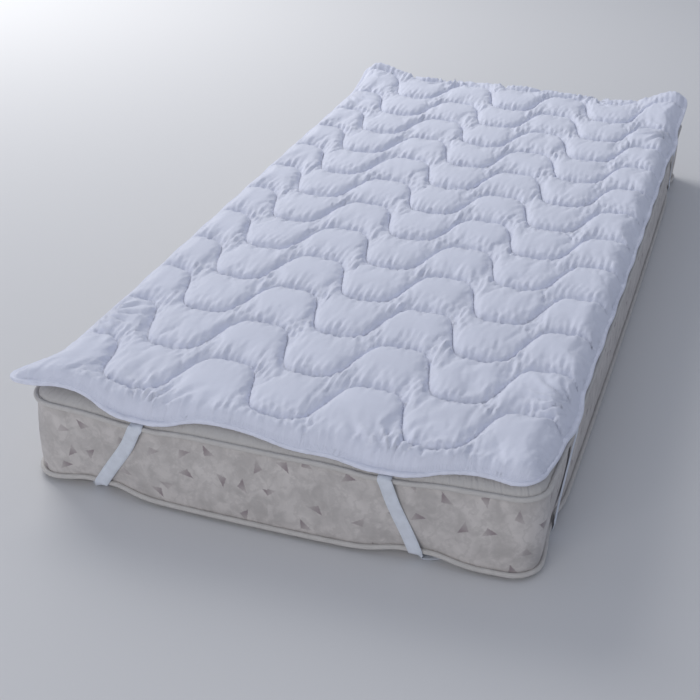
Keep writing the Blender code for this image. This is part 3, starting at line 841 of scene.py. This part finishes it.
def pad_surface(sizes):
    """The settled cover as laid on the mattress, with the data that its material reads."""
    shape, x, y, hem, faces, held, away, foot_x, foot_y, run = quilted_grid(sizes)
    to_sewing = np.minimum(away, np.maximum(hem - HEM_SEWN, 0))
    crown = np.sqrt(1 - (1 - np.clip(to_sewing / CROWN_REACH, 0, 1)) ** 2)
    uneven = np.random.default_rng(4).normal(0, 0.0003, len(x))
    height = CROWN * crown + np.where(held, 0, uneven)
    laid_x, laid_y, puffed = settle_cover(sizes, x, y, height, held, faces).T
    place_x, place_y = lay_pad(laid_x, laid_y)
    thickness = HEM_THICKNESS + (SEAM_THICKNESS - HEM_THICKNESS) * smooth((hem - 0.006) / 0.02)
    puffed = np.maximum(puffed, -0.002)
    puffed = puffed + LIFT * np.sin(math.pi / 2 * np.clip(to_sewing / LIFT_REACH, 0, 1))
    puffed = FULLEST * np.tanh(puffed / FULLEST)
    slope = (wave(foot_x + 0.0005) - wave(foot_x - 0.0005)) / 0.001 * WAVE_HEIGHT
    relief = seam_gathers(sizes, x, y, away, slope, y > foot_y)
    relief += band_creases(sizes, place_x, place_y, TOP_MARKS)
    relief = relief * smooth((hem - 0.010) / 0.02) + hem_gathers(sizes, x, y)
    top = np.column_stack(
        [place_x, place_y, pad_underside(place_x, place_y) + thickness + puffed + relief])
    seam = np.column_stack([run, to_sewing, neck_share(x, y)])
    return top, shape, faces, np.column_stack([x, y]), seam


def every_sixth(count):
    """Every sixth grid line, and the three at each edge."""
    return np.unique(np.concatenate([[0, 1], np.arange(2, count - 2, 6), np.arange(count - 3, count)]))


def make_pad(sizes, finishes):
    """The pad as one closed form: the settled cover above and a plainer sheet below."""
    top, (rows, columns), faces, flat, seam = pad_surface(sizes)
    number = np.arange(rows * columns).reshape(rows, columns)
    across, along = every_sixth(columns), every_sixth(rows)
    low = number[np.ix_(along, across)].ravel()
    low_x, low_y = lay_pad(flat[low, 0], flat[low, 1])
    bottom = np.column_stack([low_x, low_y, pad_underside(low_x, low_y)])
    first = rows * columns
    faces += [tuple(face[::-1]) for face in grid_faces(len(along), len(across), first)]
    low_number = first + np.arange(len(low)).reshape(len(along), len(across))
    faces += rim_faces(number, low_number, along, across)
    uv = np.concatenate([flat, flat[low]])
    data = np.concatenate([seam, seam[low]])
    corners = np.concatenate([np.array(face) for face in faces])
    pad = make_mesh("pad_cover", np.concatenate([top, bottom]), faces, uv[corners])
    for name, picked in (("seam", (0, 1)), ("neck", (2, 1))):
        layer = pad.data.uv_layers.new(name=name)
        layer.data.foreach_set("uv", data[corners][:, picked].astype(np.float32).ravel())
    pad.data.materials.append(cover_material(finishes))
    return pad


def rim_faces(high, low, along, across):
    """Faces round the rim, from the fine upper edge to the sparse lower one.

    Each lower edge meets the run of upper edges above it in one many-sided face.
    """
    faces = []
    sides = (
        (high[0, :], low[0, :], across, False),
        (high[:, -1], low[:, -1], along, False),
        (high[-1, :], low[-1, :], across, True),
        (high[:, 0], low[:, 0], along, True),
    )
    for upper, lower, picks, reverse in sides:
        for k in range(len(picks) - 1):
            run = list(upper[picks[k]:picks[k + 1] + 1])
            face = [lower[k], lower[k + 1], *reversed(run)]
            faces.append(tuple(reversed(face)) if reverse else tuple(face))
    return faces


def rim_path(count):
    """The pad's rim, evenly spaced: the flat pad's edge, laid as the pad is."""
    square_x, square_y, _ = outline(PAD_HALF_WIDTH, PAD_HALF_LENGTH, 0.0005, 4 * count)
    x, y = lay_pad(square_x, square_y)
    run = flat_run(x, y)
    even = np.linspace(0, run[-1], count, endpoint=False)
    x, y = np.interp(even, run, x), np.interp(even, run, y)
    return x, y, even


def make_binding(sizes, finishes):
    """A tape folded round the rim: a C, drawn as a half ellipse outside and one inside it.

    Its flat size comes with it: half of the section's own perimeter, by the rim's length.
    """
    x, y, run = rim_path(RIM_POINTS)
    half = HEM_THICKNESS / 2
    turn = np.radians(np.linspace(-90, 90, 9))
    lip, thick = sizes.binding_width, sizes.binding_thickness
    outer = np.stack([BINDING_BULGE * np.cos(turn), (half + thick) * np.sin(turn)], axis=1)
    inner = np.stack([(BINDING_BULGE - thick) * np.cos(turn), half * np.sin(turn)], axis=1)
    rounded = 0.7 * thick
    section = np.array([
        (-lip - rounded, -half - 0.5 * thick), (-lip, -half - thick), *outer, (-lip, half + thick),
        (-lip - rounded, half + 0.5 * thick), (-lip, half), *inner[::-1], (-lip, -half),
    ])
    path = np.column_stack([x, y, pad_underside(x, y) + half])
    side, up = out_and_up(x, y)
    pucker = 1 + 0.16 * ripple(run, (0.021, 0.033, 0.012), (0.3, 1.9, 4.0))
    points = carried(path, up * pucker[:, None], side, section)
    rows, columns = points.shape[:2]
    steps = path_run(section)
    faces, uv = turned_over(
        grid_faces(rows, columns, wrap_columns=True, wrap_rows=True),
        tube_uv(rows + 1, columns, run, np.append(steps, steps[-1] + 0.001)))
    binding = make_mesh("pad_binding", points.reshape(-1, 3), faces, uv)
    tint = colour(finishes.cover, 1.03)[:3]
    binding.data.materials.append(
        tape_material("binding_tape", tint, 0.0001, 0.0016, stitch_at=BINDING_STITCHES))
    return binding, (steps[-1] / 2, run[-1])


# The bands

def level_height(z, pinch_share, dip_share, x, y):
    """A mattress level's height: lifted where bands pinch it and dipped where they pull."""
    low = pull_at(x, y, LOW_MARKS)
    high = pull_at(x, y, TOP_MARKS)
    return z + PINCH_LIFT * pinch_share * low - TOP_PULL * dip_share * high


def face_way(band, on_end, sizes):
    """A band's way down one face: over the top piping, down the wall and round the lower edge."""
    side, end = band["side"], band["end"]
    top = band["end_top_x"] * side if on_end else band["side_top_y"] * end
    low = band["end_bottom_x"] * side if on_end else band["side_bottom_y"] * end
    over = OVER_PIPING + sizes.thickness
    # Each row: share of the way down, the level's height, pinch and dip shares, its bulge,
    # then how far out and up the band lies from it, and how far it faces outwards.
    rows = (
        (0.00, TOP_SEAM_Z, 0.0, 1.0, 0.0, -0.0020, 0.0070, 0.0),
        (0.00, TOP_SEAM_Z, 0.0, 1.0, 0.0, 0.0060, 0.0066, 0.4),
        (0.00, TOP_SEAM_Z, 0.0, 1.0, 0.0, over, 0.0020, 1.0),
        (0.05, TOP_SEAM_Z, 0.0, 1.0, 0.0, over, -0.0035, 1.0),
        (0.29, 0.110, 0.1, 0.3, WALL_BULGE, 0.0030, 0.0, 1.0),
        (0.73, 0.050, 0.5, 0.0, WALL_BULGE, 0.0030, 0.0, 1.0),
        (0.97, BOTTOM_SEAM_Z, 1.0, 0.0, 0.0, over, 0.0030, 1.0),
        (1.00, BOTTOM_SEAM_Z, 1.0, 0.0, 0.0, over + 0.0004, -0.0010, 0.9),
        (1.01, BOTTOM_SEAM_Z, 1.0, 0.0, 0.0, 0.0074, -0.0056, 0.45),
        (1.03, BOTTOM_SEAM_Z, 1.0, 0.0, 0.0, 0.0010, -0.0100, 0.0),
    )
    points, facing = [], []
    for share, z, pinch, dip, bulge, out, up, outwards in rows:
        place = top + (low - top) * share
        edge = end_edge(place) if on_end else side_edge(place)
        mark = np.array([place, end * edge]) if on_end else np.array([side * edge, place])
        pinched = pull_at(mark[0], mark[1], LOW_MARKS)
        reach = edge + bulge - PINCH_IN * pinch * pinched + out
        height = level_height(z, pinch, dip, mark[0], mark[1]) + up
        way = (1 - outwards) * (1 if share < 0.5 else -1)
        points.append((place, end * reach, height) if on_end else (side * reach, place, height))
        facing.append((0, end * outwards, way) if on_end else (side * outwards, 0, way))
    return points, facing


def smooth_path(points, facing, step):
    """A path of even steps through points: a Catmull-Rom curve, its facing carried along."""
    points, facing = np.array(points, dtype=float), np.array(facing, dtype=float)
    both = np.hstack([points, facing])
    padded = np.vstack([2 * both[0] - both[1], both, 2 * both[-1] - both[-2]])
    t = np.linspace(0, 1, 24, endpoint=False)[:, None]
    pieces = []
    for a, b, c, d in zip(padded[:-3], padded[1:-2], padded[2:-1], padded[3:]):
        pieces.append(0.5 * (2 * b + (c - a) * t + (2 * a - 5 * b + 4 * c - d) * t**2
                             + (3 * b - a - 3 * c + d) * t**3))
    fine = np.vstack([*pieces, both[-1:]])
    run = path_run(fine[:, :3])
    even = np.linspace(0, run[-1], round(run[-1] / step) + 1)
    out = np.stack([np.interp(even, run, fine[:, k]) for k in range(6)], axis=1)
    return out[:, :3], out[:, 3:], even


def make_band(band, sizes, material):
    """A flat tape of rounded section carried round a corner of the mattress, and its length."""
    points, facing = face_way(band, True, sizes)
    back, back_facing = face_way(band, False, sizes)
    start, finish = np.array(points[-1]), np.array(back[-1])
    for share in np.linspace(0.1, 0.9, 6):
        roof = PINCH_LIFT - (PINCH_LIFT - GROOVE_LIFT) * math.sin(math.pi * share)
        middle = start * (1 - share) + finish * share
        points.append((middle[0], middle[1], 0.0012 + 0.5 * (roof - GROOVE_LIFT)))
        facing.append((0, 0, -1))
    path, facing, run = smooth_path(points + back[::-1], facing + back_facing[::-1], 0.0035)
    along = np.gradient(path, axis=0)
    along /= np.linalg.norm(along, axis=1)[:, None]
    facing -= along * (facing * along).sum(axis=1)[:, None]
    facing /= np.linalg.norm(facing, axis=1)[:, None]
    across = np.cross(along, facing)
    half, thick = sizes.width / 2, sizes.thickness / 2
    u = np.array([-1, -0.97, -0.5, 0, 0.5, 0.97, 1, 0.97, 0.5, 0, -0.5, -0.97]) * half
    v = np.array([0, 0.85, 1, 1, 1, 0.85, 0, -0.85, -1, -1, -1, -0.85]) * thick
    section = np.stack([u, v], axis=1)
    tape = carried(path, facing, across, section)
    rows, columns = tape.shape[:2]
    number = np.arange(rows * columns).reshape(rows, columns)
    faces = [tuple(face) for face in grid_faces(rows, columns, wrap_rows=True)]
    faces += [tuple(number[:, 0]), tuple(number[::-1, -1])]
    uv_point = np.stack(np.broadcast_arrays(run[None], section[:, :1]), axis=-1).reshape(-1, 2)
    uv = uv_point[np.concatenate([np.array(face) for face in faces])]
    name = band["name"].replace("elastic_band", "elastic_tape")
    made = make_mesh(name, tape.reshape(-1, 3), faces, uv)
    turn_outwards(made)
    made.data.materials.append(material)
    return made, run[-1]


def turn_outwards(made):
    """Recalculates a closed mesh's faces so that they point outwards."""
    work = bmesh.new()
    work.from_mesh(made.data)
    bmesh.ops.recalc_face_normals(work, faces=work.faces)
    work.to_mesh(made.data)
    work.free()


# The mattress

def groove_height(x, y):
    """How far the bands press the underside in: a flat-topped bell across each band's way."""
    height = np.zeros_like(x)
    for band in BANDS:
        side, end = band["side"], band["end"]
        low_x, low_y = band["end_bottom_x"], band["side_bottom_y"]
        start = np.array((side * low_x, end * (end_edge(low_x) - PINCH_IN)))
        finish = np.array((side * (side_edge(low_y) - PINCH_IN), end * low_y))
        length = np.linalg.norm(finish - start)
        unit = (finish - start) / length
        run = np.clip((x - start[0]) * unit[0] + (y - start[1]) * unit[1], 0, length)
        away = np.hypot(x - start[0] - run * unit[0], y - start[1] - run * unit[1])
        roof = PINCH_LIFT - (PINCH_LIFT - GROOVE_LIFT) * np.sin(math.pi * run / length)
        fade = np.exp(-((np.maximum(away - GROOVE_FLAT, 0) / GROOVE_FLAT) ** 2))
        height = np.maximum(height, roof * fade)
    return height


def mattress_level(depth, z, pinch_share, dip_share, count):
    """One loop of the mattress's side, pinched in and up at the bands, and its run."""
    radius = max(CORNER_RADIUS - depth, 0.008)
    x, y, run = outline(HALF_WIDTH - depth, HALF_LENGTH - depth, radius, count)
    x, y = bowed(x, y)
    out_x, out_y = outward(x, y)
    low = pull_at(x, y, LOW_MARKS)
    inward = PINCH_IN * pinch_share * low
    x, y = x - out_x * inward, y - out_y * inward
    return np.column_stack([x, y, level_height(z, pinch_share, dip_share, x, y)]), run


def mattress_profile():
    """The side's profile from the underside up: depth, height, pinch share and dip share.

    A rounded foot, a wall that bulges as a sine between the two seams, and a domed top
    whose depth follows an ellipse.
    """
    foot = np.linspace(0, 1, 6)[:-1]
    rows = [(0.034 * (1 - t) ** 1.5, BOTTOM_SEAM_Z * t**2.2, t, 0.0) for t in foot]
    for t in np.linspace(0, 1, 19):
        z = BOTTOM_SEAM_Z + (TOP_SEAM_Z - BOTTOM_SEAM_Z) * t
        bulge = WALL_BULGE * 1.15 * math.sin(math.pi * t) ** 0.7 if 0 < t < 1 else 0.0
        rows.append((-bulge, z, (1 - t) ** 2, t**2))
    for t in np.linspace(0, 1, 13)[1:]:
        depth = DOME_RUN * t**1.6
        rows.append((depth, float(dome(depth)), 0.0, (1 - t) ** 2))
    return rows


def make_mattress(sizes, finishes):
    """The mattress as loops stacked up its profile, with gathers beside its two seams."""
    count = sizes.stations
    loops = []
    for depth, z, pinch, dip in mattress_profile():
        loop, run = mattress_level(depth, z, pinch, dip, count)
        gather = math.exp(-(((z - TOP_SEAM_Z) / GATHER_REACH) ** 2))
        gather += 0.7 * math.exp(-(((z - BOTTOM_SEAM_Z) / GATHER_REACH) ** 2))
        uneven = ripple(run, (0.0151, 0.0117, 0.0232, 0.041), (0.2, 2.1, 4.4, 1.0))
        slow = WALL_WAVES * ripple(run, (0.23, 0.37, 0.11), (1.0, 0.4, 2.2))
        slow *= math.sin(math.pi * np.clip(z / 0.16, 0, 1))
        out_x, out_y = outward(loop[:, 0], loop[:, 1])
        push = sizes.gather_depth * gather * uneven + slow
        loop[:, 0] += out_x * push
        loop[:, 1] += out_y * push
        loops.append(loop)
    loops = [mattress_level(depth, 0.0, 0.0, 0.0, count)[0] for depth in UNDER_DEPTHS] + loops
    for loop in loops[:len(UNDER_DEPTHS) + 1]:
        loop[:, 2] = groove_height(loop[:, 0], loop[:, 1])
    loops[0][:, 2] = 0.0
    rows = len(loops)
    faces = [tuple(face) for face in grid_faces(rows, count, wrap_columns=True)]
    faces.append(tuple(range(count - 1, -1, -1)))
    faces.append(tuple(range((rows - 1) * count, rows * count)))
    points = np.concatenate(loops)
    middle = loops[len(UNDER_DEPTHS) + 12]
    steps = [0.0]
    for lower, upper in zip(loops[:-1], loops[1:]):
        steps.append(steps[-1] + float(np.linalg.norm(upper - lower, axis=1).mean()))
    side_uv = tube_uv(rows, count, path_run(middle), np.array(steps))
    flat_uv = np.concatenate([points[list(faces[-2]), :2], points[list(faces[-1]), :2]])
    made = make_mesh("mattress_body", points, faces, np.concatenate([side_uv, flat_uv]))
    heights = [float(loop[0, 2]) for loop in loops]
    border = float(np.interp(TOP_SEAM_Z, heights, steps))
    made.data.materials.append(ticking_material(finishes, border))
    return made


def make_piping(name, level, sizes, material):
    """A cord in a seam: a circle carried round the seam's loop, its middle a little outside."""
    loop, _ = mattress_level(*level, sizes.stations)
    side, up = out_and_up(loop[:, 0], loop[:, 1])
    run = path_run(loop)
    radius = sizes.piping_radius
    turn = np.linspace(0, 2 * math.pi, 12, endpoint=False)
    swell = 1 + 0.05 * ripple(run, (0.013, 0.029, 0.047), (0.0, 1.0, 2.0))
    section = np.stack([np.cos(turn) * radius, np.sin(turn) * radius], axis=1)
    points = carried(loop + side * PIPING_OUT, up * swell[:, None], side, section)
    rows, columns = points.shape[:2]
    around = np.arange(rows + 1) / rows * 2 * math.pi * radius
    faces, uv = turned_over(
        grid_faces(rows, columns, wrap_columns=True, wrap_rows=True),
        tube_uv(rows + 1, columns, run, around))
    made = make_mesh(name, points.reshape(-1, 3), faces, uv)
    made.data.materials.append(material)
    return made


class MakePad(bpy.types.Operator):
    """Make the quilted pad and the binding round its rim"""

    bl_idname = "bedding.make_pad"
    bl_label = "Make Quilted Pad"

    def execute(self, context):
        sizes, finishes = context.scene.pad_sizes, context.scene.bedding_finishes
        pad = make_pad(sizes, finishes)
        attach(pad, "root")
        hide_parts("quilted_pad")
        binding, cut = make_binding(sizes, finishes)
        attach(binding, "root")
        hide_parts("edge_binding")
        return {"FINISHED"}


class MakeBands(bpy.types.Operator):
    """Make the four elastic bands that hold the pad on the mattress"""

    bl_idname = "bedding.make_bands"
    bl_label = "Make Elastic Bands"

    def execute(self, context):
        sizes, finishes = context.scene.band_sizes, context.scene.bedding_finishes
        material = tape_material("ribbed_elastic", finishes.elastic, 0.00025, 0.0014)
        for band in BANDS:
            made, length = make_band(band, sizes, material)
            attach(made, "root")
            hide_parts(band["name"])
        return {"FINISHED"}


class MakeMattress(bpy.types.Operator):
    """Make the mattress and the piping in its two seams"""

    bl_idname = "bedding.make_mattress"
    bl_label = "Make Mattress"

    def execute(self, context):
        sizes, finishes = context.scene.mattress_sizes, context.scene.bedding_finishes
        made = make_mattress(sizes, finishes)
        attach(made, "root")
        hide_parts("mattress")
        material = tape_material("piping_cord", finishes.piping, 0.0002, 0.0024)
        levels = {
            "bottom_piping": (0.0, BOTTOM_SEAM_Z, 1.0, 0.0),
            "top_piping": (0.0, TOP_SEAM_Z, 0.0, 1.0),
        }
        for node, level in levels.items():
            piping = make_piping(node + "_cord", level, sizes, material)
            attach(piping, "root")
            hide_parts(node)
        return {"FINISHED"}


class MakeStage(bpy.types.Operator):
    """Make the pale floor, the soft lights and the camera"""

    bl_idname = "bedding.make_stage"
    bl_label = "Make Stage"

    def execute(self, context):
        scene = context.scene
        corners = [(x, y, -0.001) for x, y in ((-30, -30), (30, -30), (30, 30), (-30, 30))]
        floor = make_mesh("floor", np.array(corners), [(0, 1, 2, 3)])
        nodes = Nodes("pale_floor")
        nodes.shader.inputs["Base Color"].default_value = (0.72, 0.72, 0.73, 1)
        nodes.shader.inputs["Roughness"].default_value = 0.9
        floor.data.materials.append(nodes.material)
        world = bpy.data.worlds.new("soft_surround")
        world.use_nodes = True
        background = world.node_tree.nodes["Background"]
        background.inputs["Color"].default_value = (0.80, 0.86, 1.0, 1)
        background.inputs["Strength"].default_value = 0.42
        scene.world = world
        add_light("window", (-3.2, 2.2, 2.6), (0, 0, 0.1), 2.6, 118, (1.0, 0.99, 0.97))
        add_light("front_fill", (-0.6, -4.6, 1.5), (0, -0.6, 0.1), 2.4, 38, (1.0, 0.98, 0.96))
        add_camera(scene)
        scene.view_settings.view_transform = "Standard"
        return {"FINISHED"}


def aimed(location, target):
    """A world matrix at a place that looks at a target: -Z forward and +Y up."""
    away = Vector(target) - Vector(location)
    turn = away.to_track_quat("-Z", "Y").to_matrix().to_4x4()
    return Matrix.Translation(Vector(location)) @ turn


def add_light(name, location, target, size, power, tint):
    light = bpy.data.lights.new(name, "AREA")
    light.shape = "SQUARE"
    light.size = size
    light.energy = power
    light.color = tint
    made = bpy.data.objects.new(name, light)
    made.matrix_world = aimed(location, target)
    bpy.context.scene.collection.objects.link(made)


def add_camera(scene):
    """The camera, placed by solving the photograph's perspective for the mattress's edges."""
    data = bpy.data.cameras.new("camera")
    data.sensor_width = SENSOR
    data.lens = FOCAL_PIXELS / PHOTO_PIXELS * SENSOR
    data.clip_end = 200
    camera = bpy.data.objects.new("camera", data)
    heading, tilt, roll = CAMERA_TURNS
    turn = Matrix.Rotation(heading, 4, "Z") @ Matrix.Rotation(tilt, 4, "X")
    turn = turn @ Matrix.Rotation(roll, 4, "Y")
    camera.matrix_world = Matrix.Translation(CAMERA_PLACE) @ turn
    scene.collection.objects.link(camera)
    scene.camera = camera


class BeddingPanel(bpy.types.Panel):
    bl_idname = "VIEW3D_PT_bedding"
    bl_label = "Quilted Mattress Pad"
    bl_space_type = "VIEW_3D"
    bl_region_type = "UI"
    bl_category = "Bedding"

    def draw(self, context):
        for operator in OPERATORS:
            self.layout.operator(operator.bl_idname)
        for group in GROUPS:
            holder = getattr(context.scene, group)
            for key in GROUPS[group].__annotations__:
                self.layout.prop(holder, key)


OPERATORS = (MakePad, MakeBands, MakeMattress, MakeStage)
GROUPS = {
    "pad_sizes": PadSizes,
    "band_sizes": BandSizes,
    "mattress_sizes": MattressSizes,
    "bedding_finishes": Finishes,
}


def register():
    for item in (*GROUPS.values(), *OPERATORS, BeddingPanel):
        bpy.utils.register_class(item)
    for name, group in GROUPS.items():
        setattr(bpy.types.Scene, name, PointerProperty(type=group))


def unregister():
    for name in GROUPS:
        delattr(bpy.types.Scene, name)
    for item in reversed((*GROUPS.values(), *OPERATORS, BeddingPanel)):
        bpy.utils.unregister_class(item)


def main():
    register()
    bpy.ops.bedding.make_stage()
    bpy.ops.bedding.make_mattress()
    bpy.ops.bedding.make_bands()
    bpy.ops.bedding.make_pad()


if __name__ == "__main__":
    main()
